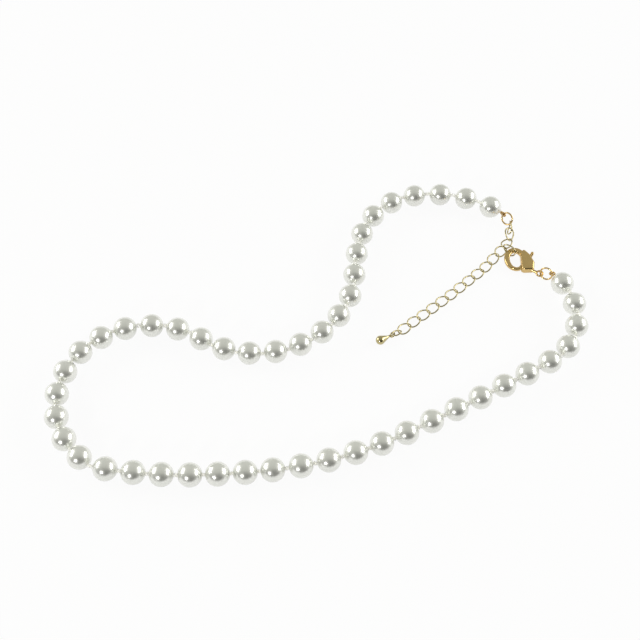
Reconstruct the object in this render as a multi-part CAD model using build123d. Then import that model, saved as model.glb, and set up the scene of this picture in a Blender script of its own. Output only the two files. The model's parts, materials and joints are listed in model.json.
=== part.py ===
from build123d import *
import math
import os

# Knotted pearl strand with a lobster clasp hooked into an extension chain, laid open on a
# flat surface.  Millimetres and degrees.  The surface is Z = 0 and the origin is the centre
# of the strand's box on that surface.

# ---- pearls and silk
PEARL_D = 8.0            # pearl
BORE_D = 0.9             # drilled hole through each pearl
BORE_CHAMFER = 0.1       # broken edge at both mouths of the hole
SILK_D = 0.55            # silk thread
KNOT_CLEARANCE = 0.05    # knot to the mouth of the hole that it sits in
DOUBLE_KNOT_FROM = 1.5   # gaps from this length up are filled by two knots
PEARLS_PER_GROUP = 3     # pearls that move as one between two hinged knots
GROUPS = 16

# The lay of the strand, from the chain end to the clasp end:
# knots in the stretch, turn at each knot, gap between the pearls there
LAY = [
    (3, 14, 1.8), (3, 21, 1.5), (2, 7, 1.3), (2, -15.5, 1.3), (6, -15, 1.0),
    (3, 16.5, 1.3), (4, 18, 0.8), (3, 17.5, 0.8), (1, 30, 1.9), (3, 3.5, 1.1),
    (3, 2, 0.8), (5, 4, 1.1), (6, 0.5, 1.4), (4, 23, 1.4),
]
LAY_HEADING = 148.3      # way that the first pearl's hole points
TURN_ALLOWANCE = 1.5     # most that each knot may be turned to bring the two ends home

# ---- gimp-covered end loops
GIMP_D = 0.7             # silk inside its gold coil
GIMP_LOOP_R = 0.8        # centre line of the loop
GIMP_NECK_D = 1.0
GIMP_NECK_L = 0.9
GIMP_NECK_CLEARANCE = 0.2
GIMP_DROOP = 25.0        # the loop hangs below the line of the hole
GIMP_LOOP_Z = PEARL_D / 2 - (GIMP_NECK_L + GIMP_LOOP_R) * math.sin(math.radians(GIMP_DROOP))

# ---- jump rings
RING_WIRE = 0.6
RING_R = 2.2             # centre line
RING_ROLL = 62.0         # lean of the ring about its own length

# ---- extension chain
LINK_WIRE = 0.5
LINK_L = 5.15            # centre line
LINK_W = 3.6
LINK_TWIST = 22.0        # each end is turned this far out of the link's middle plane
LINK_SIDE_SHARE = 0.42   # straight share of a link's half length before it rounds off
LINK_END_SHARE = 0.40    # straight share of its half width across the end
BEND_SHARE = 0.45        # share of a straight run that the bend at either end may take
SMALL_LINK_L = 3.3
SMALL_LINK_W = 2.0
WIRE_GAP = 0.15          # between two wires that pull on each other
END_RING_R = 0.9
DROP_EYE_R = 0.7
DROP_WIRE = 0.4
DROP_BALL_D = 3.2
DROP_L = 3.9             # eye centre to ball centre
DROP_NECK_D = 0.9
DROP_CROWN = 40.0        # point on the ball that its outline is drawn through

# Each ring or link as it lies: heading, roll about its length, heights of its two ends,
# and how far it has slid back along the one before
CHAIN_RING_LAY = (-55, RING_ROLL, GIMP_LOOP_Z, 2.5, 0.0)
CLASP_RING_LAY = (-18, RING_ROLL, 1.5, GIMP_LOOP_Z, 0.0)
HOOKED_RUN = [
    (-98, -100, 2.5, 1.9, 0.0), (-98, -30, 1.9, 1.2, 1.9), (-120, 11, 1.2, 1.8, 0.0),
    (-45, 71, 2.3, 1.7, 0.15),
]
FREE_RUN = [
    (224, 166, 1.0, 1.2, 0.15), (231, 180, 1.2, 0.9, 0.0), (227, 180, 0.9, 0.9, 0.0),
    (219, 180, 0.9, 0.9, 0.0), (222, 180, 0.9, 0.9, 0.0), (221, 180, 0.9, 0.9, 0.0),
    (222, 180, 0.9, 0.9, 0.0), (217, 180, 0.9, 0.9, 0.0), (221, 180, 0.9, 0.9, 0.0),
    (217, 180, 0.9, 0.9, 0.0), (219, 180, 0.9, 0.9, 0.0), (219, 180, 0.9, 0.9, 0.0),
]
SMALL_LINK_LAY = (207, 191, 0.9, 1.15, 0.3)
END_RING_LAY = (216, 113, 1.2, 1.3, 0.0)
DROP_HEADING = 208.0
DROP_ROLL = 42.0

# ---- lobster clasp, drawn about the centre of its hook's opening
CLASP_Z = 1.5            # middle plane
CLASP_HEADING = 0.0
BODY_T = 3.0
HOOK_T = 1.5
HOOK_OUTER = (4.1, 4.95) # half width and half height
HOOK_INNER = (2.1, 3.35)
HOOK_RISE = 0.35         # the hook is thicker over the top of its opening
HOOK_ROUND = 0.55
BODY_ROUND = 0.8
BODY_CORNER_R = 0.7
BODY_OUTLINE = [
    (1.6, -4.5), (2.6, -5.0), (6.0, -4.9), (6.6, -1.6), (5.2, 2.0), (3.2, 4.4), (1.9, 2.6),
]
EYE_AT = (8.0, -6.0)
EYE_R = 1.1
EYE_WIRE = 0.7
TAIL_D = 1.1
TAIL_ROOT_SHARE = 0.4    # the tail starts this share of the way from the pivot to the eye
GRIP_ANGLE = 118.0       # where on the hook the chain is caught
GRIP_OFFSET = 0.65       # hook centre line ahead of the caught link's middle
LEVER_T = 1.0
SLOT_CLEARANCE = 0.1
PIVOT = (3.0, -3.2)
PIVOT_D = 0.9
PIVOT_CLEARANCE = 0.04
RIVET_SHORT = 0.04       # rivet shorter than the body is thick
HUB_R = 1.0
LEVER_OPEN = 25.0
THUMB_AT = (6.3, 2.7)
THUMB_R = 0.55
THUMB_T = 1.7
THUMB_ROUND = 0.25
ARM_W = 1.0
TIP_AT = (-1.2, -4.0)    # meeting point of gate and hook
TIP_ANGLE = 188.0
TIP_GAP = 0.2
GATE_END_X = 1.2         # the gate is full thickness up to here
GATE_TOP_SHARE = 0.72    # the gate reaches up to this share of the opening's half height
GATE_ROOT_W = 1.5
GATE_ROOT_RISE = 0.85    # middle of the gate's root above the foot of the hub
SPRING_WIRE = 0.3
SPRING_ROUTE = [(5.0, -1.1), (4.25, -3.7), (5.75, -3.3)]


def unit(heading):
    """Horizontal unit vector along a heading"""
    return Vector(math.cos(math.radians(heading)), math.sin(math.radians(heading)), 0)


def flat_heading(vector):
    return math.degrees(math.atan2(vector.Y, vector.X))


# ---- layout of the strand

def knots_of_lay(extra_turn):
    """Turn and gap at every knot, in order"""
    return [(turn + extra_turn, gap) for count, turn, gap in LAY for _ in range(count)]


def lay_strand(extra_turn, start):
    """Centre and heading of each pearl, and each gap between them with the headings beside it"""
    centre, heading = start, LAY_HEADING
    pearls, knots = [(centre, heading)], []
    for turn, gap in knots_of_lay(extra_turn):
        half = (PEARL_D + gap) / 2
        knot = centre + unit(heading) * half
        heading += turn
        centre = knot + unit(heading) * half
        knots.append((knot, gap, heading - turn, heading))
        pearls.append((centre, heading))
    return pearls, knots


def gimp_at(pearl_centre, outward):
    """Middle of the end loop beside a pearl, and the direction that it points in"""
    droop = math.radians(GIMP_DROOP)
    direction = unit(outward) * math.cos(droop) - Vector(0, 0, math.sin(droop))
    mouth = pearl_centre + unit(outward) * (PEARL_D / 2)
    return mouth + direction * (GIMP_NECK_L + GIMP_LOOP_R), direction


def end_loops(pearls):
    """The chain-end loop and the clasp-end loop"""
    (first, first_heading), (last, last_heading) = pearls[0], pearls[-1]
    return gimp_at(first, first_heading + 180), gimp_at(last, last_heading)


# ---- layout of the rings, links and clasp

def reach_of(length, wire):
    """Pull-to-pull length of a link from its centre-line length"""
    return length - wire - WIRE_GAP


def place_link(start, behind, lay, reach, spin):
    """A link from its lay: where it begins and ends, its roll, and the hinge behind it"""
    heading, roll, begin_z, end_z, slack = lay
    way = unit(heading + spin)
    slid = start - behind * slack
    begin = Vector(slid.X, slid.Y, begin_z)
    rise = end_z - begin_z
    end = begin + way * math.sqrt(reach ** 2 - rise ** 2) + Vector(0, 0, rise)
    return {"begin": begin, "end": end, "way": way, "roll": roll, "hinge": (start + slid) / 2}


def place_run(before, lays, reach, spin):
    """Links one after another, the first one held by the piece before it"""
    placed = [before]
    for lay in lays:
        held = placed[-1]
        placed.append(place_link(held["end"], held["way"], lay, reach, spin))
    return placed[1:]


def hook_bar(angle):
    """Middle of the hook's bar in the clasp's own plane, at an angle about its opening"""
    a = (HOOK_OUTER[0] + HOOK_INNER[0]) / 2
    b = (HOOK_OUTER[1] + HOOK_INNER[1] + HOOK_RISE) / 2
    return Vector(a * math.cos(math.radians(angle)), b * math.sin(math.radians(angle)), 0)


def lay_findings(chain_loop, spin):
    """Everything from the chain-end loop round to the clasp-end loop"""
    ring_reach = reach_of(2 * RING_R, RING_WIRE)
    link_reach = reach_of(LINK_L, LINK_WIRE)
    gimp_pull = GIMP_LOOP_R - (GIMP_D + WIRE_GAP) / 2
    way = unit(CHAIN_RING_LAY[0] + spin)
    ring = place_link(chain_loop + way * gimp_pull, way, CHAIN_RING_LAY, ring_reach, spin)
    hooked = place_run(ring, HOOKED_RUN, link_reach, spin)
    caught = hooked[-1]
    outer_end = {"end": caught["begin"], "way": unit(FREE_RUN[0][0] + spin)}
    free = place_run(outer_end, FREE_RUN, link_reach, spin)
    small_reach = reach_of(SMALL_LINK_L, LINK_WIRE)
    small, = place_run(free[-1], [SMALL_LINK_LAY], small_reach, spin)
    end_ring, = place_run(small, [END_RING_LAY], reach_of(2 * END_RING_R, LINK_WIRE), spin)
    along = (caught["end"] - caught["begin"]).normalized()
    grip = (caught["begin"] + caught["end"]) / 2 + along * GRIP_OFFSET
    heading = CLASP_HEADING + spin
    clasp = Vector(grip.X, grip.Y, CLASP_Z) - hook_bar(GRIP_ANGLE).rotate(Axis.Z, heading)
    eye = clasp + Vector(*EYE_AT).rotate(Axis.Z, heading)
    way = unit(CLASP_RING_LAY[0] + spin)
    start = eye + way * (EYE_R - (EYE_WIRE + WIRE_GAP) / 2)
    clasp_ring = place_link(start, way, CLASP_RING_LAY, ring_reach, spin)
    return {
        "chain_ring": ring, "hooked": hooked, "free": free, "small": small,
        "end_ring": end_ring, "clasp": clasp, "clasp_heading": heading,
        "clasp_ring": clasp_ring,
        "clasp_loop": clasp_ring["end"] + way * gimp_pull,
        "drop_heading": DROP_HEADING + spin,
    }


def plan_distance(vector):
    return math.hypot(vector.X, vector.Y)


def solve(error, low, high):
    """Root of a rising or falling error by halving"""
    sign = error(low)
    for _ in range(50):
        middle = (low + high) / 2
        if error(middle) * sign > 0:
            low = middle
        else:
            high = middle
    return (low + high) / 2


def lay_necklace():
    """The whole layout: the strand is turned until its two ends just meet the findings"""
    origin = Vector(0, 0, PEARL_D / 2)
    span = lay_findings(Vector(0, 0, 0), 0)["clasp_loop"]

    def opening(extra_turn):
        (chain_loop, _), (clasp_loop, _) = end_loops(lay_strand(extra_turn, origin)[0])
        return clasp_loop - chain_loop

    extra_turn = solve(lambda t: plan_distance(opening(t)) - plan_distance(span),
                       -TURN_ALLOWANCE, TURN_ALLOWANCE)
    spin = flat_heading(opening(extra_turn)) - flat_heading(span)
    centres = [centre for centre, _ in lay_strand(extra_turn, origin)[0]]
    xs, ys = [c.X for c in centres], [c.Y for c in centres]
    start = origin - Vector((min(xs) + max(xs)) / 2, (min(ys) + max(ys)) / 2, 0)
    pearls, knots = lay_strand(extra_turn, start)
    (chain_loop, _), _ = end_loops(pearls)
    findings = lay_findings(chain_loop, spin)
    return {"pearls": pearls, "knots": knots, **findings}


def lie_along(begin, end, roll):
    """Frame at the middle of a link: X along it, rolled about its length"""
    along = (end - begin).normalized()
    up = (Vector(0, 0, 1) - along * along.Z).normalized()
    frame = Plane(origin=(begin + end) / 2, x_dir=along, z_dir=up)
    return frame.location * Location((0, 0, 0), (roll, 0, 0))


def lie_as(link):
    return lie_along(link["begin"], link["end"], link["roll"])


# ---- wires and links

def corner_radii(points, closed):
    """Largest arc that each corner of a route takes, short of half its shorter run"""
    count = len(points)
    corners = range(count) if closed else range(1, count - 1)
    radii = []
    for i in corners:
        back = Vector(*points[i]) - Vector(*points[i - 1])
        on = Vector(*points[(i + 1) % count]) - Vector(*points[i])
        half_turn = math.radians(back.get_angle(on) / 2)
        radii.append(BEND_SHARE * min(back.length, on.length) / math.tan(half_turn))
    return radii


def bend_wire(path, diameter):
    """Round wire along lines and arcs, one exact piece for each"""
    pieces = [sweep(Plane(origin=edge @ 0, z_dir=edge % 0) * Circle(diameter / 2), path=edge)
              for edge in path.edges()]
    return Part() + pieces


def link_route(length, width, twist):
    """Closed eight-cornered route of a curb link, its two ends turned opposite ways"""
    a, b = length / 2, width / 2
    quarter = [(LINK_SIDE_SHARE * a, b), (a, LINK_END_SHARE * b)]
    outline = (quarter + [(x, -y) for x, y in reversed(quarter)]
               + [(-x, -y) for x, y in quarter] + [(-x, y) for x, y in reversed(quarter)])
    slope = math.tan(math.radians(twist)) / a
    return [(x, y, -x * y * slope) for x, y in outline]


def curb_link(length, width, wire):
    route = link_route(length, width, LINK_TWIST)
    path = FilletPolyline(*route, radius=corner_radii(route, True), close=True)
    return bend_wire(path, wire)


def loop_ring(radius, wire):
    """Closed ring lying in the XY plane"""
    return Torus(radius, wire / 2)


# ---- pearls, knots and silk

def standing(centre, heading):
    """Frame at a point with Z along a horizontal heading"""
    return Plane(origin=centre, x_dir=unit(heading + 90), z_dir=unit(heading)).location


def pearl():
    """Round pearl drilled through along Z"""
    mouth = math.sqrt((PEARL_D / 2) ** 2 - (BORE_D / 2) ** 2)
    solid = Sphere(PEARL_D / 2) - Cylinder(BORE_D / 2, PEARL_D)
    for turn in (0, 180):
        lead_in = Pos(0, 0, mouth) * Cone(BORE_D / 2, BORE_D / 2 + BORE_CHAMFER, 2 * BORE_CHAMFER)
        solid -= Rot(turn, 0, 0) * lead_in
    return solid


def knot_size(gap):
    """How far from the middle of a gap its one or two knots sit, and their radius"""
    mouth_r = BORE_D / 2 + BORE_CHAMFER
    sag = PEARL_D / 2 - math.sqrt((PEARL_D / 2) ** 2 - mouth_r ** 2)
    offset = gap / 4 if gap >= DOUBLE_KNOT_FROM else 0
    return offset, math.hypot(gap / 2 - offset + sag, mouth_r) - KNOT_CLEARANCE


def silk_knots(centre, gap, before, after):
    """Knots drawn up tight in a gap, each on the line of the pearl beside it"""
    offset, radius = knot_size(gap)
    knot = Rot(0, 0, 90) * Sphere(radius)
    knots = [standing(centre + unit(after) * offset, after) * knot]
    if offset:
        knots.append(standing(centre - unit(before) * offset, before) * knot)
    return knots


def silk_through(pearls, knots, start_trim, end_trim):
    """Silk of one group: a straight run through each pearl and a knot after it"""
    pieces = []
    for i, (centre, heading) in enumerate(pearls):
        back, on = start_trim(i), end_trim(i)
        run = Pos(0, 0, (on - back) / 2) * Cylinder(SILK_D / 2, on + back)
        pieces.append(standing(centre, heading) * run)
    for knot in knots:
        pieces += silk_knots(*knot)
    return Part() + pieces


def group_slices():
    """Pearls of each group: equal groups, with what is left over in the last"""
    count = len(knots_of_lay(0)) + 1
    starts = [i * PEARLS_PER_GROUP for i in range(GROUPS)] + [count]
    return list(zip(starts, starts[1:]))


def strand_nodes(layout):
    """Pearls and silk of each group"""
    pearls, knots = layout["pearls"], layout["knots"]
    drilled = pearl()
    nodes = {}
    for number, (first, last) in enumerate(group_slices(), 1):
        group = pearls[first:last]

        def back(i, first=first):
            if first + i == 0:
                return PEARL_D / 2
            gap = knots[first + i - 1][1]
            if i:
                return (PEARL_D + gap) / 2
            offset, radius = knot_size(gap)
            return (PEARL_D + gap) / 2 - offset - radius - KNOT_CLEARANCE

        def on(i, first=first):
            if first + i == len(pearls) - 1:
                return PEARL_D / 2
            return (PEARL_D + knots[first + i][1]) / 2

        beads = [standing(*place) * drilled for place in group]
        nodes[f"pearls_{number:02d}"] = Compound(children=beads)
        nodes[f"silk_{number:02d}"] = silk_through(group, knots[first:last], back, on)
    return nodes


def gimp_loop(loop, direction, ring):
    """Silk loop in its gold coil, across the wire of its jump ring, with a neck at the pearl"""
    ring_wire = Plane(lie_as(ring)).y_dir
    frame = Plane(origin=loop, x_dir=direction.cross(ring_wire).cross(direction),
                  z_dir=direction).location
    neck_l = GIMP_NECK_L - GIMP_NECK_CLEARANCE + GIMP_D / 4
    neck = Pos(0, 0, GIMP_D / 4 - GIMP_LOOP_R - neck_l / 2) * Cylinder(GIMP_NECK_D / 2, neck_l)
    return frame * (Rot(0, 90, 0) * loop_ring(GIMP_LOOP_R, GIMP_D) + neck)


# ---- the end of the chain

def end_drop():
    """Teardrop with its eye, hanging along +X from the eye's centre"""
    radius = DROP_BALL_D / 2
    neck_x = DROP_EYE_R
    slope = math.asin((radius - DROP_NECK_D / 2) / (DROP_L - neck_x))
    touch = (DROP_L - radius * math.sin(slope), radius * math.cos(slope))
    profile = Polyline((neck_x, 0), (neck_x, DROP_NECK_D / 2), touch)
    crown = math.radians(DROP_CROWN)
    over = (DROP_L + radius * math.cos(crown), radius * math.sin(crown))
    profile += ThreePointArc(touch, over, (DROP_L + radius, 0))
    profile += Line((DROP_L + radius, 0), (neck_x, 0))
    body = revolve(make_face(profile), Axis.X)
    return body + loop_ring(DROP_EYE_R, DROP_WIRE)


# ---- lobster clasp

def hook_band():
    """Plan of the whole ring of the hook, as if it had no gate"""
    return Pos(0, HOOK_RISE) * Ellipse(*HOOK_OUTER) - Ellipse(*HOOK_INNER)


def beyond_tip(side):
    """Half plane on one side of the slanting meeting line of hook and gate"""
    size = 4 * HOOK_OUTER[1]
    shift = side * (size / 2 + TIP_GAP / 2)
    return Pos(*TIP_AT) * Rot(0, 0, TIP_ANGLE) * Pos(shift, 0) * Rectangle(size, size)


def gate_zone():
    """Lower end of the hook's ring, where the gate is"""
    low = -1.5 * HOOK_OUTER[1]
    high = -HOOK_INNER[1] * GATE_TOP_SHARE
    return Pos(0, (low + high) / 2) * Rectangle(2.2 * HOOK_OUTER[0], high - low)


def body_plan():
    return fillet(make_face(Polyline(*BODY_OUTLINE, close=True)).vertices(), BODY_CORNER_R)


def lever_plan(grow=0.0):
    """Plan of the thin middle of the lever: hub, thumb arm and root of the gate"""
    hub = Pos(*PIVOT) * Circle(HUB_R + grow)
    arm = SlotCenterToCenter(math.dist(PIVOT, THUMB_AT), ARM_W + 2 * grow)
    way = math.degrees(math.atan2(THUMB_AT[1] - PIVOT[1], THUMB_AT[0] - PIVOT[0]))
    middle = ((PIVOT[0] + THUMB_AT[0]) / 2, (PIVOT[1] + THUMB_AT[1]) / 2)
    root_low = PIVOT[1] - HUB_R - grow
    root = Pos((GATE_END_X + PIVOT[0] - grow) / 2, root_low + GATE_ROOT_RISE + grow)
    gate_root = root * Rectangle(PIVOT[0] - GATE_END_X + grow, GATE_ROOT_W + 2 * grow)
    return hub + Pos(*middle) * Rot(0, 0, way) * arm + gate_root


def turned_about_pivot(shape, angle):
    x, y = PIVOT
    return Pos(x, y, 0) * Rot(0, 0, -angle) * Pos(-x, -y, 0) * shape


def lever_pocket():
    """Slot that the lever sweeps through, and the room beside it for the spring"""
    steps = 5
    swept = [turned_about_pivot(lever_plan(SLOT_CLEARANCE), LEVER_OPEN * i / steps)
             for i in range(steps + 1)]
    room = Polyline(*SPRING_ROUTE, close=True)
    room = offset(make_face(room), SPRING_WIRE, kind=Kind.ARC)
    plan = Sketch() + swept + room
    return extrude(plan, (LEVER_T / 2 + SLOT_CLEARANCE), both=True)


def rounded(solid, radius):
    """Round the edges of the top and bottom faces of a flat piece"""
    faces = solid.faces().group_by(Axis.Z)
    return fillet(faces[0].edges() + faces[-1].edges(), radius)


def hook_ring():
    """Hook and gate as one closed ring, before it is parted"""
    return rounded(extrude(hook_band(), HOOK_T / 2, both=True), HOOK_ROUND)


def upright(plan):
    """A plan area as a column through the whole thickness of the clasp"""
    return extrude(plan, BODY_T, both=True)


def clasp_body():
    """Cast claw: slim hook, full body with the lever's slot, and the eye at its tail"""
    hook = hook_ring() - upright(gate_zone() - beyond_tip(1))
    body = rounded(extrude(body_plan(), BODY_T / 2, both=True), BODY_ROUND)
    eye = Pos(*EYE_AT, 0) * loop_ring(EYE_R, EYE_WIRE)
    to_eye = Vector(*EYE_AT, 0) - Vector(*PIVOT, 0)
    tail_start = Vector(*PIVOT, 0) + to_eye * TAIL_ROOT_SHARE
    tail_way = to_eye * (1 - TAIL_ROOT_SHARE)
    tail_l = tail_way.length - EYE_R
    tail = Plane(origin=tail_start, z_dir=tail_way).location * Pos(0, 0, tail_l / 2) * Cylinder(
        TAIL_D / 2, tail_l)
    solid = hook + body + eye + tail - lever_pocket()
    return solid - Pos(*PIVOT, 0) * Cylinder(PIVOT_D / 2, BODY_T)


def clasp_rivet():
    """Pin through both cheeks and the lever"""
    return Pos(*PIVOT, 0) * Cylinder(PIVOT_D / 2, BODY_T - RIVET_SHORT)


def clasp_lever():
    """Gate, hub, thumb arm and thumb knob in one piece"""
    middle = extrude(lever_plan(), LEVER_T / 2, both=True)
    left_of_body = Pos(GATE_END_X - HOOK_OUTER[0], 0) * Rectangle(
        2 * HOOK_OUTER[0], 3 * HOOK_OUTER[1])
    gate = hook_ring() & upright(gate_zone() & beyond_tip(-1) & left_of_body)
    knob = Pos(*THUMB_AT, 0) * Cylinder(THUMB_R, THUMB_T)
    knob = fillet(knob.edges().filter_by(GeomType.CIRCLE), THUMB_ROUND)
    return middle + gate + knob - Pos(*PIVOT, 0) * Cylinder(
        PIVOT_D / 2 + PIVOT_CLEARANCE, BODY_T)


def clasp_spring():
    """Hairpin wire between the thumb arm and the wall of the slot"""
    points = [(x, y, 0) for x, y in SPRING_ROUTE]
    path = FilletPolyline(*points, radius=corner_radii(points, False))
    return bend_wire(path, SPRING_WIRE)


def clasp_nodes(layout):
    frame = Location(layout["clasp"], (0, 0, layout["clasp_heading"]))
    return {
        "clasp_body": frame * clasp_body(),
        "clasp_lever": frame * clasp_lever(),
        "clasp_rivet": frame * clasp_rivet(),
        "clasp_spring": frame * clasp_spring(),
    }


def chain_nodes(layout):
    """Jump rings, end loops, links and the drop"""
    chain_loop, clasp_loop = end_loops(layout["pearls"])
    nodes = {
        "gimp_chain_end": gimp_loop(*chain_loop, layout["chain_ring"]),
        "gimp_clasp_end": gimp_loop(*clasp_loop, layout["clasp_ring"]),
    }
    ring = loop_ring(RING_R, RING_WIRE)
    nodes["jump_ring_chain"] = lie_as(layout["chain_ring"]) * ring
    nodes["jump_ring_clasp"] = lie_as(layout["clasp_ring"]) * ring
    link = curb_link(LINK_L, LINK_W, LINK_WIRE)
    for number, lay in enumerate(layout["hooked"] + layout["free"], 1):
        nodes[f"link_{number:02d}"] = lie_as(lay) * link
    nodes["end_link"] = lie_as(layout["small"]) * curb_link(SMALL_LINK_L, SMALL_LINK_W, LINK_WIRE)
    nodes["end_ring"] = lie_as(layout["end_ring"]) * loop_ring(END_RING_R, LINK_WIRE)
    nodes["end_drop"] = drop_frame(layout) * end_drop()
    return nodes


def drop_frame(layout):
    """The drop lies on its ball and hangs by its eye in the end ring"""
    pull = DROP_EYE_R - (DROP_WIRE + WIRE_GAP) / 2
    ring_end = layout["end_ring"]["end"]
    ball_z = DROP_BALL_D / 2
    way = unit(layout["drop_heading"])
    flat = math.sqrt(DROP_L ** 2 - (ball_z - ring_end.Z) ** 2)
    eye = ring_end + way * pull
    ball = eye + way * flat + Vector(0, 0, ball_z - ring_end.Z)
    return Location(eye, lie_along(eye, ball, DROP_ROLL).orientation)


def main():
    layout = lay_necklace()
    nodes = {**strand_nodes(layout), **clasp_nodes(layout), **chain_nodes(layout)}
    os.makedirs("parts", exist_ok=True)
    for name, shape in nodes.items():
        export_step(shape, f"parts/{name}.step")
    print(len(nodes), "nodes")


main()
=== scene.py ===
import json
import math

import bmesh
import bpy
import numpy as np
from bpy.props import FloatProperty, FloatVectorProperty, PointerProperty
from mathutils import Matrix, Vector


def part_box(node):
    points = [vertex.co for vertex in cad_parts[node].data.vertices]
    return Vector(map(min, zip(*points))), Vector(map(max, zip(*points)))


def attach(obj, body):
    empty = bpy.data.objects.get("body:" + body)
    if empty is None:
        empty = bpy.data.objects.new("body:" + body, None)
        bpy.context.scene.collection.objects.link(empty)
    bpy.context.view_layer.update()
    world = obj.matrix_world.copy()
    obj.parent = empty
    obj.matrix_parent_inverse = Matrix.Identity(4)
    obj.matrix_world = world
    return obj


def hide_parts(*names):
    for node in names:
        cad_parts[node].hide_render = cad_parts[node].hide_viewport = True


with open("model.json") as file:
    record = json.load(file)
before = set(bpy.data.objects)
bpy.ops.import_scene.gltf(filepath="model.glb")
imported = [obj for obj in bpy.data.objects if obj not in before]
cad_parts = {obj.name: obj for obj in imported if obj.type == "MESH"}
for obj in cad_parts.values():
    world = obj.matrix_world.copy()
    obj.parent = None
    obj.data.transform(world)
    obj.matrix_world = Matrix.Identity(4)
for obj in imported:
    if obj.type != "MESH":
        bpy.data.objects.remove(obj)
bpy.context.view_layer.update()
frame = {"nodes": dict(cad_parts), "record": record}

bl_info = {
    "name": "Knotted pearl necklace",
    "version": (1, 0, 0),
    "blender": (4, 5, 0),
    "location": "View3D > Sidebar > Necklace",
    "description": "Pearls, silk, gimp, findings and stage of a knotted pearl necklace",
    "category": "Object",
}

MM = 0.001
GROUPS = [f"{n:02d}" for n in range(1, 17)]
LINKS = [f"{n:02d}" for n in range(1, 17)]

SKIN_SHARE = 0.985      # points further out than this share of the radius are on a pearl's skin
LOOP_SHARE = 1.05       # points further off than this share of the neck are on a gimp loop
SAME_POINT = 1e-7       # points closer than this are one
GIMP_FOOT = 0.24 * MM   # half the distance between the legs of a gimp loop
KNOT_ROOM = 0.05 * MM   # between a knot and the mouths of its pearls
LENGTH_SLACK = 0.01 * MM  # a gap this much short of a double knot's still counts as one
KNOT_TURN = 0.9         # turn of each knot against the one before
DOUBLE_TURN = 1.7       # turn of a double knot's second half
LINK_SIDE_SHARE = 0.42  # corner of a link's side, as a share of half its length
LINK_END_SHARE = 0.40   # corner of a link's end, as a share of half its width
SOLDER_LENGTH = 0.75    # half axes of a solder bead, in wire diameters
SOLDER_WIDTH = 0.56     # the same across the wire
SOLDER_SEAT = 0.985     # a bead's place, as a share of half the link's width

# name, place, power in watts, width and height
LAMPS = (
    ("left_box", (-0.80, 0.24, 0.40), 3.2, 0.62, 0.28),
    ("right_box", (0.80, 0.15, 0.38), 3.6, 0.74, 0.28),
    ("front_spark", (-0.40, -0.74, 0.42), 2.0, 0.14, 0.14),
)
FLOOR_SIZE = 3.0
FLOOR_GLOW = {"Is Camera Ray": 0.93, "Is Glossy Ray": 0.8}
# the room's colour from the dark front to the bright back
ROOM = (
    (0.0, (0.06, 0.058, 0.05)),
    (0.17, (0.08, 0.078, 0.067)),
    (0.42, (0.50, 0.505, 0.46)),
    (1.0, (0.60, 0.605, 0.56)),
)
ROOM_STRENGTH = 0.9


# ---- sizes and colours

def size(name, description, default):
    return FloatProperty(name=name, description=description, default=default * MM,
                         min=0.0, subtype="DISTANCE", unit="LENGTH")


def tint(name, description, default):
    return FloatVectorProperty(name=name, description=description, default=default,
                               size=3, min=0.0, max=1.0, subtype="COLOR")


class PearlSettings(bpy.types.PropertyGroup):
    """Pearls and the silk between them"""
    diameter: size("Pearl", "Diameter of a pearl", 8.0)
    bore: size("Hole", "Diameter of the drilled hole", 0.9)
    chamfer: size("Hole edge", "Broken edge at the mouth of the hole", 0.1)
    silk: size("Silk", "Diameter of the silk thread", 0.55)
    double_from: size("Double knot", "Gaps from this length up hold two knots", 1.5)
    nacre: tint("Nacre", "Body colour of the pearls", (0.90, 0.895, 0.85))
    nacre_shade: tint("Nacre overtone", "Cool overtone of the pearls", (0.84, 0.86, 0.81))
    thread: tint("Silk colour", "Colour of the silk", (0.92, 0.91, 0.85))


class FindingSettings(bpy.types.PropertyGroup):
    """Gimp loops, rings, chain and their plating"""
    gimp_loop: size("Gimp loop", "Centre line radius of the end loops", 0.8)
    gimp_coil: size("Gimp coil", "Outer diameter of the coiled wire", 0.7)
    gimp_wire: size("Gimp wire", "Diameter of the coiled wire", 0.13)
    gimp_neck: size("Gimp neck", "From the loop down to the pearl", 0.9)
    ring_wire: size("Ring wire", "Wire of the jump rings", 0.6)
    ring_radius: size("Ring", "Centre line radius of the jump rings", 2.2)
    link_wire: size("Link wire", "Wire of the chain", 0.5)
    link_length: size("Link length", "Centre line length of a link", 5.15)
    link_width: size("Link width", "Centre line width of a link", 3.6)
    small_length: size("Small link length", "Centre line length of the last link", 3.3)
    small_width: size("Small link width", "Centre line width of the last link", 2.0)
    twist: FloatProperty(name="Link twist", description="Turn of each end of a link",
                         default=math.radians(22), subtype="ANGLE", unit="ROTATION")
    end_ring: size("End ring", "Centre line radius of the ring above the drop", 0.9)
    clasp_gold: tint("Clasp gold", "Plating of the clasp and rings", (0.76, 0.54, 0.23))
    chain_gold: tint("Chain gold", "Paler plating of the chain", (0.60, 0.52, 0.28))


class StageSettings(bpy.types.PropertyGroup):
    """Floor and camera"""
    floor: tint("Floor", "Colour of the floor", (0.93, 0.93, 0.93))
    lens: FloatProperty(name="Lens", description="Focal length in millimetres", default=59.6)
    elevation: FloatProperty(name="Elevation", description="Camera above the horizon",
                             default=math.radians(57.5), subtype="ANGLE", unit="ROTATION")
    distance: size("Distance", "Camera to the middle of the aim", 372.8)
    aim_x: FloatProperty(name="Aim X", description="Middle of the aim", default=-0.87 * MM)
    aim_y: FloatProperty(name="Aim Y", description="Middle of the aim", default=3.8 * MM)


# ---- shader maths

class Wire:
    """A socket that takes part in arithmetic"""

    def __init__(self, kit, socket):
        self.kit, self.socket = kit, socket

    def _math(self, operation, a, b):
        return self.kit.node("ShaderNodeMath", {"operation": operation}, {0: a, 1: b})

    def __add__(self, other):
        return self._math("ADD", self, other)

    __radd__ = __add__

    def __mul__(self, other):
        return self._math("MULTIPLY", self, other)


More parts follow.
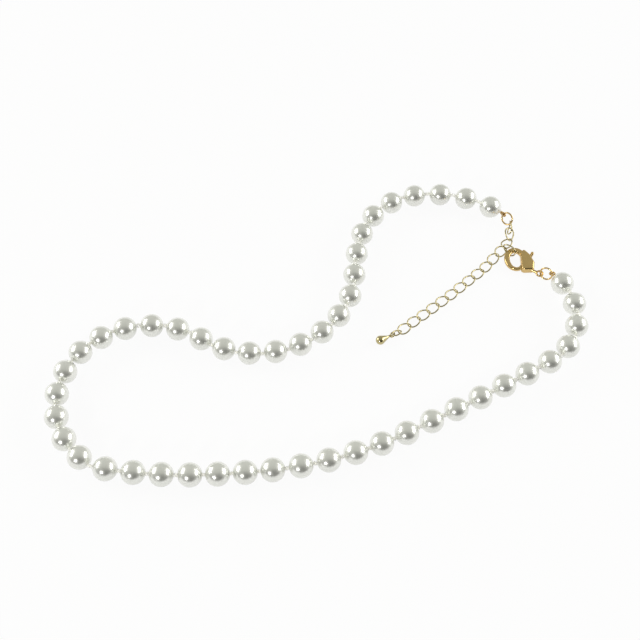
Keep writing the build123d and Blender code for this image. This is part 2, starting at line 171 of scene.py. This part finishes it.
class Kit:
    """Nodes of one material"""

    def __init__(self, tree):
        self.tree = tree

    def node(self, kind, settings=None, inputs=None, out=0):
        node = self.tree.nodes.new(kind)
        for name, value in (settings or {}).items():
            if name == "stops":
                self._stops(node.color_ramp, value)
            else:
                setattr(node, name, value)
        for name, value in (inputs or {}).items():
            self.set(node.inputs[name], value)
        return Wire(self, node.outputs[out])

    def _stops(self, ramp, stops):
        while len(ramp.elements) < len(stops):
            ramp.elements.new(0.5)
        for element, (place, colour) in zip(ramp.elements, stops):
            element.position = place
            element.color = (*colour, 1.0)

    def set(self, socket, value):
        if isinstance(value, Wire):
            self.tree.links.new(value.socket, socket)
        elif socket.type == "RGBA" and len(value) == 3:
            socket.default_value = (*value, 1.0)
        else:
            socket.default_value = value

    def noise(self, per_metre, detail=3.0, roughness=0.5):
        place = self.node("ShaderNodeTexCoord", out="Object")
        return self.node("ShaderNodeTexNoise", {}, {
            "Vector": place, "Scale": per_metre, "Detail": detail, "Roughness": roughness})

    def blend(self, factor, a, b):
        return self.node("ShaderNodeMix", {"data_type": "RGBA"}, {0: factor, 6: a, 7: b}, out=2)

    def bump(self, height, distance, strength=1.0):
        return self.node("ShaderNodeBump", {}, {
            "Height": height, "Distance": distance, "Strength": strength})


def finish_material(name, sockets):
    """A material with one principled shader, its sockets set or linked by the given function"""
    material = bpy.data.materials.new(name)
    material.use_nodes = True
    kit = Kit(material.node_tree)
    shader = material.node_tree.nodes["Principled BSDF"]
    for socket, value in sockets(kit).items():
        kit.set(shader.inputs[socket], value)
    return material


def nacre_material():
    settings = bpy.context.scene.necklace_pearls
    base, shade = tuple(settings.nacre), tuple(settings.nacre_shade)

    def sockets(kit):
        clouds = kit.noise(160.0, 2.0)
        grain = kit.noise(5200.0, 4.0, 0.6)
        return {
            "Base Color": kit.blend(clouds * 0.8, base, shade),
            "Metallic": 0.68,
            "Roughness": 0.27 + clouds * 0.06,
            "Specular IOR Level": 0.6,
            "Coat Weight": 0.5,
            "Coat Roughness": 0.13,
            "Normal": kit.bump(grain, 0.001 * MM, 0.15),
        }
    return finish_material("nacre", sockets)


def silk_painted_glow_material():
    settings = bpy.context.scene.necklace_pearls
    colour = tuple(settings.thread)
    light = tuple(min(1.0, c * 1.18) for c in colour)

    def sockets(kit):
        fibres = kit.noise(9000.0, 4.0, 0.7)
        return {
            "Base Color": kit.blend(fibres, colour, light),
            "Roughness": 0.7,
            "Sheen Weight": 0.8,
            "Subsurface Weight": 0.5,
            "Subsurface Scale": 0.4 * MM,
            "Subsurface Radius": (1.0, 1.0, 0.9),
            # Painted light: the silk (thread, knots and gimp cores) glows faintly in its own
            # colour, standing in for light from the white floor reaching the shaded gaps between
            # the pearls
            "Emission Color": colour,
            "Emission Strength": 0.25,
            "Normal": kit.bump(fibres, 0.05 * MM, 0.8),
        }
    return finish_material("silk", sockets)


def gold_material(name, colour, roughness):
    """Plated and polished metal, faintly uneven and dulled in patches"""
    dull = tuple(c * 0.72 for c in colour)

    def sockets(kit):
        patches = kit.noise(420.0, 3.0)
        scratches = kit.noise(6500.0, 5.0, 0.65)
        return {
            "Base Color": kit.blend(patches * 0.7, colour, dull),
            "Metallic": 1.0,
            "Roughness": roughness + patches * 0.10 + scratches * 0.06,
            "Normal": kit.bump(scratches, 0.006 * MM, 0.5),
        }
    return finish_material(name, sockets)


def floor_material(colour):
    material = bpy.data.materials.new("floor")
    material.use_nodes = True
    tree = material.node_tree
    kit = Kit(tree)
    tree.nodes.remove(tree.nodes["Principled BSDF"])
    paint = kit.node("ShaderNodeBsdfDiffuse", {}, {"Color": colour})
    glow = kit.node("ShaderNodeEmission", {}, {"Color": (1, 1, 1), "Strength": 1.0})
    camera, glossy = [kit.node("ShaderNodeLightPath", out=ray) * share
                      for ray, share in FLOOR_GLOW.items()]
    mixed = kit.node("ShaderNodeMixShader", {}, {0: camera + glossy, 1: paint, 2: glow})
    tree.links.new(mixed.socket, tree.nodes["Material Output"].inputs["Surface"])
    return material


_materials = {}


def finish(name):
    """Each finish is made once"""
    if name not in _materials:
        findings = bpy.context.scene.necklace_findings
        makers = {
            "nacre": nacre_material,
            "silk": silk_painted_glow_material,
            "clasp gold": lambda: gold_material("clasp_gold", tuple(findings.clasp_gold), 0.13),
            "gimp gold": lambda: gold_material("gimp_gold", tuple(findings.clasp_gold), 0.24),
            "chain gold": lambda: gold_material("chain_gold", tuple(findings.chain_gold), 0.14),
            "spring": lambda: gold_material("spring_wire", (0.55, 0.55, 0.56), 0.3),
        }
        _materials[name] = makers[name]()
    return _materials[name]


# ---- reading the frame

def merged_copy(node):
    """A copy of a CAD node's mesh with its loose triangles joined"""
    bm = bmesh.new()
    bm.from_mesh(frame["nodes"][node].data)
    bmesh.ops.remove_doubles(bm, verts=bm.verts, dist=SAME_POINT)
    return bm


def solids_of(node):
    """Corner points of each separate solid of a node"""
    bm = merged_copy(node)
    bm.verts.ensure_lookup_table()
    left, solids = set(bm.verts), []
    for seed in bm.verts:
        if seed not in left:
            continue
        left.discard(seed)
        stack, found = [seed], []
        while stack:
            vert = stack.pop()
            found.append(tuple(vert.co))
            for edge in vert.link_edges:
                other = edge.other_vert(vert)
                if other in left:
                    left.discard(other)
                    stack.append(other)
        solids.append(np.array(found))
    bm.free()
    return solids


def pearl_seat(points):
    """Centre of a drilled pearl and the line of its hole"""
    radius = bpy.context.scene.necklace_pearls.diameter / 2
    middle = (points.min(0) + points.max(0)) / 2
    far = np.linalg.norm(points - middle, axis=1)
    skin = points[far > SKIN_SHARE * radius]
    ones = np.c_[2 * skin, np.ones(len(skin))]
    centre = np.linalg.lstsq(ones, (skin ** 2).sum(1), rcond=None)[0][:3]
    bore = points[np.linalg.norm(points - centre, axis=1) < SKIN_SHARE * radius] - centre
    line = np.linalg.svd(bore, full_matrices=False)[2][0]
    return Vector(centre), Vector(line)


def strand():
    """Every pearl in order: group, centre and the line of its hole towards the next one"""
    pearls = []
    for group in GROUPS:
        seats = [pearl_seat(points) for points in solids_of(f"pearls_{group}")]
        if pearls:
            here = pearls[-1][1]
        else:
            low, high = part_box("gimp_chain_end")
            here = (Vector(low) + Vector(high)) / 2
        while seats:
            seat = min(seats, key=lambda s: (s[0] - here).length)
            seats.remove(seat)
            line = seat[1] if seat[1].dot(seat[0] - here) > 0 else -seat[1]
            pearls.append((group, seat[0], line))
            here = seat[0]
    return pearls


def lie_of(node):
    """Frame of a flat, symmetrical node: X along it, Y across it, Z out of its plane"""
    mesh = frame["nodes"][node].data
    points = np.array([v.co for v in mesh.vertices])
    faces = np.array([p.vertices for p in mesh.polygons])
    corners = points[faces]
    weights = np.linalg.norm(np.cross(corners[:, 1] - corners[:, 0],
                                      corners[:, 2] - corners[:, 0]), axis=1)
    middles = corners.mean(1)
    centre = (middles * weights[:, None]).sum(0) / weights.sum()
    spread = (middles - centre) * np.sqrt(weights)[:, None]
    along, across, out = np.linalg.svd(spread, full_matrices=False)[2]
    if np.dot(np.cross(along, across), out) < 0:
        out = -out
    turn = Matrix((along, across, out)).transposed().to_4x4()
    return Matrix.Translation(Vector(centre)) @ turn


def upright(centre, line):
    """Frame at a point with Z along a line"""
    return Matrix.Translation(centre) @ line.to_track_quat("Z", "X").to_matrix().to_4x4()


# ---- making pieces

def new_piece(name, bm, material, body, node=None):
    """A finished mesh piece that rides on a body and may stand for a CAD node"""
    bmesh.ops.recalc_face_normals(bm, faces=bm.faces)
    mesh = bpy.data.meshes.new(name)
    bm.to_mesh(mesh)
    bm.free()
    mesh.materials.append(finish(material))
    mesh.shade_smooth()
    piece = bpy.data.objects.new(name, mesh)
    bpy.context.scene.collection.objects.link(piece)
    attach(piece, body)
    if node:
        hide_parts(node)
    return piece


def body_of_node(node):
    for body, nodes in frame["record"]["behaviour"]["bodies"].items():
        if node in nodes:
            return body
    raise ValueError(node)


def lathe(points, steps):
    """A profile of (radius, height) turned once about Z"""
    bm = bmesh.new()
    verts = [bm.verts.new((r, 0, z)) for r, z in points]
    edges = [bm.edges.new(pair) for pair in zip(verts, verts[1:])]
    bmesh.ops.spin(bm, geom=verts + edges, cent=(0, 0, 0), axis=(0, 0, 1),
                   angle=math.tau, steps=steps, use_merge=True)
    bmesh.ops.remove_doubles(bm, verts=bm.verts, dist=SAME_POINT)
    return bm


def stamp(target, source, matrix):
    """Adds a copy of one bmesh to another"""
    mesh = bpy.data.meshes.new("stamp")
    source.to_mesh(mesh)
    mesh.transform(matrix)
    target.from_mesh(mesh)
    bpy.data.meshes.remove(mesh)


def tube(points, radius, closed, smooth_spline, sides=6, along=6):
    """Round wire along a line of points"""
    curve = bpy.data.curves.new("wire", "CURVE")
    curve.dimensions = "3D"
    curve.bevel_depth = radius
    curve.bevel_resolution = sides // 2 - 1
    curve.use_fill_caps = not closed
    curve.resolution_u = along
    spline = curve.splines.new("NURBS" if smooth_spline else "POLY")
    spline.points.add(len(points) - 1)
    for point, place in zip(spline.points, points):
        point.co = (*place, 1.0)
    spline.use_cyclic_u = closed
    if smooth_spline:
        spline.order_u = 3
        spline.use_endpoint_u = not closed
    holder = bpy.data.objects.new("wire", curve)
    mesh = bpy.data.meshes.new_from_object(holder)
    bm = bmesh.new()
    bm.from_mesh(mesh)
    bmesh.ops.remove_doubles(bm, verts=bm.verts, dist=SAME_POINT)
    bpy.data.objects.remove(holder)
    bpy.data.curves.remove(curve)
    bpy.data.meshes.remove(mesh)
    return bm


def torus(radius, wire, steps=72, sides=16):
    """Ring in the XY plane"""
    bm = bmesh.new()
    made = bmesh.ops.create_circle(bm, segments=sides, radius=wire / 2)
    bmesh.ops.rotate(bm, verts=made["verts"], cent=(0, 0, 0),
                     matrix=Matrix.Rotation(math.pi / 2, 3, "X"))
    bmesh.ops.translate(bm, verts=made["verts"], vec=(radius, 0, 0))
    bmesh.ops.spin(bm, geom=bm.verts[:] + bm.edges[:], cent=(0, 0, 0), axis=(0, 0, 1),
                   angle=math.tau, steps=steps, use_merge=True)
    bmesh.ops.remove_doubles(bm, verts=bm.verts, dist=SAME_POINT)
    return bm


# ---- pearls and silk

def drilled_pearl(settings):
    """Pearl with its hole along Z: skin, broken edge and bore"""
    radius, bore = settings.diameter / 2, settings.bore / 2
    mouth_r = bore + settings.chamfer
    start = math.asin(mouth_r / radius)
    rings = 34
    skin = []
    for i in range(rings + 1):
        angle = start + (math.pi - 2 * start) * i / rings
        skin.append((radius * math.sin(angle), radius * math.cos(angle)))
    depth = math.cos(start) * radius - settings.chamfer
    profile = [(bore, 0.0), (bore, depth)] + skin + [(bore, -depth), (bore, 0.0)]
    return lathe(profile, 56)


def knot_places(settings, first, second):
    """Frames and radius of the knots between two pearls"""
    apart = (second[1] - first[1]).length
    cosine = max(-1.0, min(1.0, first[2].dot(second[2])))
    reach = apart / 2 / math.cos(math.acos(cosine) / 2)
    gap = 2 * reach - settings.diameter
    middle = first[1] + first[2] * reach
    mouth_r = settings.bore / 2 + settings.chamfer
    radius = settings.diameter / 2
    sag = radius - math.sqrt(radius ** 2 - mouth_r ** 2)
    offset = gap / 4 if gap > settings.double_from - LENGTH_SLACK else 0.0
    size_r = math.hypot(gap / 2 - offset + sag, mouth_r) - KNOT_ROOM
    places = [(middle + second[2] * offset, second[2])]
    if offset:
        places.append((middle - first[2] * offset, first[2]))
    return places, size_r


def overhand_knot():
    """Tight knot of unit radius in a thread along Z"""
    middle, sway, height, thread = 0.52, 0.20, 0.46, 0.30
    points = []
    count = 42
    for i in range(count):
        t = math.tau * i / count
        swell = middle + sway * math.cos(3 * t)
        points.append((swell * math.cos(2 * t), swell * math.sin(2 * t), height * math.sin(3 * t)))
    return tube(points, thread, True, True, sides=8, along=2)


# ---- operators

class NECKLACE_OT_pearls(bpy.types.Operator):
    """Round drilled pearls, three to a group and four in the last"""
    bl_idname = "necklace.pearls"
    bl_label = "Pearls"

    def execute(self, context):
        settings = context.scene.necklace_pearls
        master = drilled_pearl(settings)
        pearls = strand()
        for group in GROUPS:
            bm = bmesh.new()
            for owner, centre, line in pearls:
                if owner == group:
                    stamp(bm, master, upright(centre, line))
            piece = new_piece(f"pearl_beads_{group}", bm, "nacre", f"strand_{group}",
                              f"pearls_{group}")
        master.free()
        return {"FINISHED"}


class NECKLACE_OT_silk(bpy.types.Operator):
    """Silk through the pearls with a knot in every gap"""
    bl_idname = "necklace.silk"
    bl_label = "Silk and knots"

    def execute(self, context):
        settings = context.scene.necklace_pearls
        pearls = strand()
        knot = overhand_knot()
        for group in GROUPS:
            bm = bmesh.new()
            for i, (owner, centre, line) in enumerate(pearls):
                if owner != group:
                    continue
                thread = lathe([(0.0, 0.5), (0.5, 0.5), (0.5, -0.5), (0.0, -0.5)], 12)
                stretch = Matrix.Diagonal((settings.silk, settings.silk, settings.diameter, 1.0))
                stamp(bm, thread, upright(centre, line) @ stretch)
                thread.free()
                if i + 1 < len(pearls):
                    places, radius = knot_places(settings, pearls[i], pearls[i + 1])
                    for number, (place, way) in enumerate(places):
                        turn = Matrix.Rotation(KNOT_TURN * i + DOUBLE_TURN * number, 4, "Z")
                        stamp(bm, knot, upright(place, way) @ turn @ Matrix.Scale(radius, 4))
            piece = new_piece(f"silk_thread_{group}", bm, "silk", f"strand_{group}",
                              f"silk_{group}")
        knot.free()
        return {"FINISHED"}


def coil_round(path, coil_r, wire_r, pitch):
    """Wire coiled round a line of points"""
    path = np.array(path)
    steps = np.linalg.norm(np.diff(path, axis=0), axis=1)
    run = np.r_[0, np.cumsum(steps)]
    turns = int(run[-1] / pitch)
    count = turns * 9
    places = np.linspace(0, run[-1], count)
    centre = np.c_[[np.interp(places, run, path[:, k]) for k in range(3)]].T
    way = np.gradient(centre, axis=0)
    way /= np.linalg.norm(way, axis=1)[:, None]
    side = np.array([1.0, 0.0, 0.0]) - way * way[:, :1]
    side /= np.linalg.norm(side, axis=1)[:, None]
    other = np.cross(way, side)
    angle = math.tau * turns * places / run[-1]
    helix = centre + coil_r * (np.cos(angle)[:, None] * side + np.sin(angle)[:, None] * other)
    return tube([tuple(p) for p in helix], wire_r, False, False, sides=6)


def gimp_path(settings, leg):
    """Line of the silk: up one leg, round the loop and down the other, in the YZ plane"""
    radius = settings.gimp_loop
    rise = []
    spread = math.radians(52)
    for i in range(41):
        angle = -math.pi / 2 + spread + (math.tau - 2 * spread) * i / 40
        rise.append((0.0, radius * math.cos(angle), radius * math.sin(angle)))
    start = (0.0, GIMP_FOOT, -radius - leg)
    end = (0.0, -GIMP_FOOT, -radius - leg)
    return [start] + rise + [end]


class NECKLACE_OT_gimp(bpy.types.Operator):
    """Silk end loops wrapped in a fine gold coil"""
    bl_idname = "necklace.gimp"
    bl_label = "Gimp loops"

    def execute(self, context):
        settings = context.scene.necklace_findings
        pearls = strand()
        ends = (("gimp_chain_end", pearls[0][1], -pearls[0][2]),
                ("gimp_clasp_end", pearls[-1][1], pearls[-1][2]))
        leg = settings.gimp_neck - 0.2 * MM
        radius = context.scene.necklace_pearls.diameter / 2
        for node, centre, line in ends:
            mouth = centre + line * radius
            turn = self.loop_frame(node, mouth, settings)
            path = gimp_path(settings, leg)
            coil = coil_round(path, settings.gimp_coil / 2 - settings.gimp_wire / 2,
                              settings.gimp_wire / 2, settings.gimp_wire * 1.04)
            bmesh.ops.transform(coil, matrix=turn, verts=coil.verts)
            piece = new_piece(f"{node}_coil", coil, "gimp gold", body_of_node(node), node)
            core = tube(path, settings.gimp_coil / 2 - settings.gimp_wire, False, False)
            bmesh.ops.transform(core, matrix=turn, verts=core.verts)
            new_piece(f"{node}_core", core, "silk", body_of_node(node))
        return {"FINISHED"}

    def loop_frame(self, node, mouth, settings):
        """Frame of the loop: Z away from the pearl, X out of the loop's plane"""
        mesh = frame["nodes"][node].data
        points = np.array([v.co for v in mesh.vertices])
        reach = settings.gimp_neck + settings.gimp_loop
        away = np.linalg.norm(points - np.array(mouth), axis=1)
        tip = points[away > LOOP_SHARE * settings.gimp_neck]
        centre = Vector((tip.min(0) + tip.max(0)) / 2)
        out = (centre - mouth).normalized()
        centre = mouth + out * reach
        rel = tip - np.array(centre)
        normal = Vector(np.linalg.svd(rel, full_matrices=False)[2][2])
        normal = (normal - out * normal.dot(out)).normalized()
        across = out.cross(normal)
        turn = Matrix((normal, across, out)).transposed().to_4x4()
        return Matrix.Translation(centre) @ turn


class NECKLACE_OT_rings(bpy.types.Operator):
    """Jump rings at both ends of the strand"""
    bl_idname = "necklace.rings"
    bl_label = "Jump rings"

    def execute(self, context):
        settings = context.scene.necklace_findings
        for node in ("jump_ring_chain", "jump_ring_clasp"):
            bm = torus(settings.ring_radius, settings.ring_wire)
            bmesh.ops.transform(bm, matrix=lie_of(node), verts=bm.verts)
            piece = new_piece(f"{node}_wire", bm, "clasp gold", body_of_node(node), node)
        return {"FINISHED"}


def link_line(length, width, twist):
    """Corners of a curb link's line"""
    a, b = length / 2, width / 2
    quarter = [(LINK_SIDE_SHARE * a, b), (a, LINK_END_SHARE * b)]
    outline = (quarter + [(x, -y) for x, y in reversed(quarter)]
               + [(-x, -y) for x, y in quarter] + [(-x, y) for x, y in reversed(quarter)])
    slope = math.tan(twist) / a
    return [(x, y, -x * y * slope) for x, y in outline]


def soldered_link(length, width, wire, twist):
    """Curb link with a small bead of solder on one side"""
    bm = tube(link_line(length, width, twist), wire / 2, True, True, sides=12, along=6)
    bead = bmesh.new()
    bmesh.ops.create_uvsphere(bead, u_segments=12, v_segments=8, radius=1.0)
    shape = Matrix.Diagonal((wire * SOLDER_LENGTH, wire * SOLDER_WIDTH, wire * SOLDER_WIDTH, 1.0))
    stamp(bm, bead, Matrix.Translation((0, width / 2 * SOLDER_SEAT, 0)) @ shape)
    bead.free()
    return bm


class NECKLACE_OT_chain(bpy.types.Operator):
    """Sixteen curb links, the small last one and the ring under it"""
    bl_idname = "necklace.chain"
    bl_label = "Chain"

    def execute(self, context):
        s = context.scene.necklace_findings
        link = soldered_link(s.link_length, s.link_width, s.link_wire, s.twist)
        small = soldered_link(s.small_length, s.small_width, s.link_wire, s.twist)
        for node, master in [(f"link_{n}", link) for n in LINKS] + [("end_link", small)]:
            bm = bmesh.new()
            stamp(bm, master, lie_of(node))
            piece = new_piece(f"{node}_wire", bm, "chain gold", body_of_node(node), node)
        link.free()
        small.free()
        ring = torus(s.end_ring, s.link_wire, 40, 12)
        bmesh.ops.transform(ring, matrix=lie_of("end_ring"), verts=ring.verts)
        piece = new_piece("end_ring_wire", ring, "chain gold", "end_ring", "end_ring")
        return {"FINISHED"}


class NECKLACE_OT_drop(bpy.types.Operator):
    """Teardrop at the end of the chain"""
    bl_idname = "necklace.drop"
    bl_label = "Drop"

    def execute(self, context):
        for slot in frame["nodes"]["end_drop"].material_slots:
            slot.material = finish("chain gold")
        return {"FINISHED"}


class NECKLACE_OT_clasp(bpy.types.Operator):
    """Lobster clasp: body, lever, rivet and spring"""
    bl_idname = "necklace.clasp"
    bl_label = "Clasp"

    def execute(self, context):
        finishes = {"clasp_body": "clasp gold", "clasp_lever": "clasp gold",
                    "clasp_rivet": "clasp gold", "clasp_spring": "spring"}
        for node, name in finishes.items():
            for slot in frame["nodes"][node].material_slots:
                slot.material = finish(name)
        return {"FINISHED"}


def lamp(name, place, aim, power, width, height):
    data = bpy.data.lights.new(name, "AREA")
    data.energy = power
    data.shape = "RECTANGLE"
    data.size = width
    data.size_y = height
    light = bpy.data.objects.new(name, data)
    light.location = place
    light.rotation_euler = (Vector(aim) - Vector(place)).to_track_quat("-Z", "Y").to_euler()
    bpy.context.scene.collection.objects.link(light)
    return light


class NECKLACE_OT_stage(bpy.types.Operator):
    """Pale floor, soft lamps and the camera"""
    bl_idname = "necklace.stage"
    bl_label = "Stage"

    def execute(self, context):
        settings = context.scene.necklace_stage
        self.floor(settings)
        self.lamps()
        self.world()
        self.camera(context, settings)
        context.scene.view_settings.view_transform = "Standard"
        return {"FINISHED"}

    def floor(self, settings):
        bm = bmesh.new()
        bmesh.ops.create_grid(bm, x_segments=1, y_segments=1, size=FLOOR_SIZE)
        mesh = bpy.data.meshes.new("floor")
        bm.to_mesh(mesh)
        bm.free()
        mesh.materials.append(floor_material(tuple(settings.floor)))
        floor = bpy.data.objects.new("floor", mesh)
        bpy.context.scene.collection.objects.link(floor)

    def lamps(self):
        aim = (0, 0, bpy.context.scene.necklace_pearls.diameter / 2)
        for name, place, power, width, height in LAMPS:
            lamp(name, place, aim, power, width, height)

    def world(self):
        world = bpy.data.worlds.new("studio")
        bpy.context.scene.world = world
        world.use_nodes = True
        tree = world.node_tree
        tree.nodes.clear()
        kit = Kit(tree)
        way = kit.node("ShaderNodeTexCoord", out="Generated")
        split = kit.node("ShaderNodeSeparateXYZ", {}, {0: way}, out="Y")
        room = kit.node("ShaderNodeValToRGB", {"stops": ROOM}, {0: split * 0.5 + 0.5})
        rays = kit.node("ShaderNodeLightPath", out="Is Camera Ray")
        studio = kit.node("ShaderNodeBackground", {}, {"Color": room, "Strength": ROOM_STRENGTH})
        white = kit.node("ShaderNodeBackground", {}, {"Color": (1, 1, 1), "Strength": 1.0})
        mixed = kit.node("ShaderNodeMixShader", {}, {0: rays, 1: studio, 2: white})
        output = tree.nodes.new("ShaderNodeOutputWorld")
        tree.links.new(mixed.socket, output.inputs["Surface"])

    def camera(self, context, settings):
        data = bpy.data.cameras.new("camera")
        data.lens = settings.lens
        data.sensor_width = 36.0
        data.clip_start = 0.01
        camera = bpy.data.objects.new("camera", data)
        rise = settings.elevation
        camera.location = (settings.aim_x, settings.aim_y - settings.distance * math.cos(rise),
                           settings.distance * math.sin(rise))
        camera.rotation_euler = (math.pi / 2 - rise, 0, 0)
        context.scene.collection.objects.link(camera)
        context.scene.camera = camera


class NECKLACE_PT_panel(bpy.types.Panel):
    """Buttons for the pieces of the necklace"""
    bl_idname = "NECKLACE_PT_panel"
    bl_label = "Pearl necklace"
    bl_space_type = "VIEW_3D"
    bl_region_type = "UI"
    bl_category = "Necklace"

    def draw(self, context):
        for operator in OPERATORS:
            self.layout.operator(operator.bl_idname)
        for group, kind in SETTINGS.items():
            for name in kind.__annotations__:
                self.layout.prop(getattr(context.scene, group), name)


SETTINGS = {
    "necklace_pearls": PearlSettings,
    "necklace_findings": FindingSettings,
    "necklace_stage": StageSettings,
}
OPERATORS = (NECKLACE_OT_pearls, NECKLACE_OT_silk, NECKLACE_OT_gimp, NECKLACE_OT_rings,
             NECKLACE_OT_chain, NECKLACE_OT_drop, NECKLACE_OT_clasp, NECKLACE_OT_stage)


def register():
    for settings in SETTINGS.values():
        bpy.utils.register_class(settings)
    for name, settings in SETTINGS.items():
        setattr(bpy.types.Scene, name, PointerProperty(type=settings))
    for item in OPERATORS + (NECKLACE_PT_panel,):
        bpy.utils.register_class(item)


def unregister():
    for item in reversed(OPERATORS + (NECKLACE_PT_panel,)):
        bpy.utils.unregister_class(item)
    for name in SETTINGS:
        delattr(bpy.types.Scene, name)
    for settings in reversed(list(SETTINGS.values())):
        bpy.utils.unregister_class(settings)


def main():
    register()
    for operator in OPERATORS:
        category, name = operator.bl_idname.split(".")
        getattr(getattr(bpy.ops, category), name)()


if __name__ == "__main__":
    main()
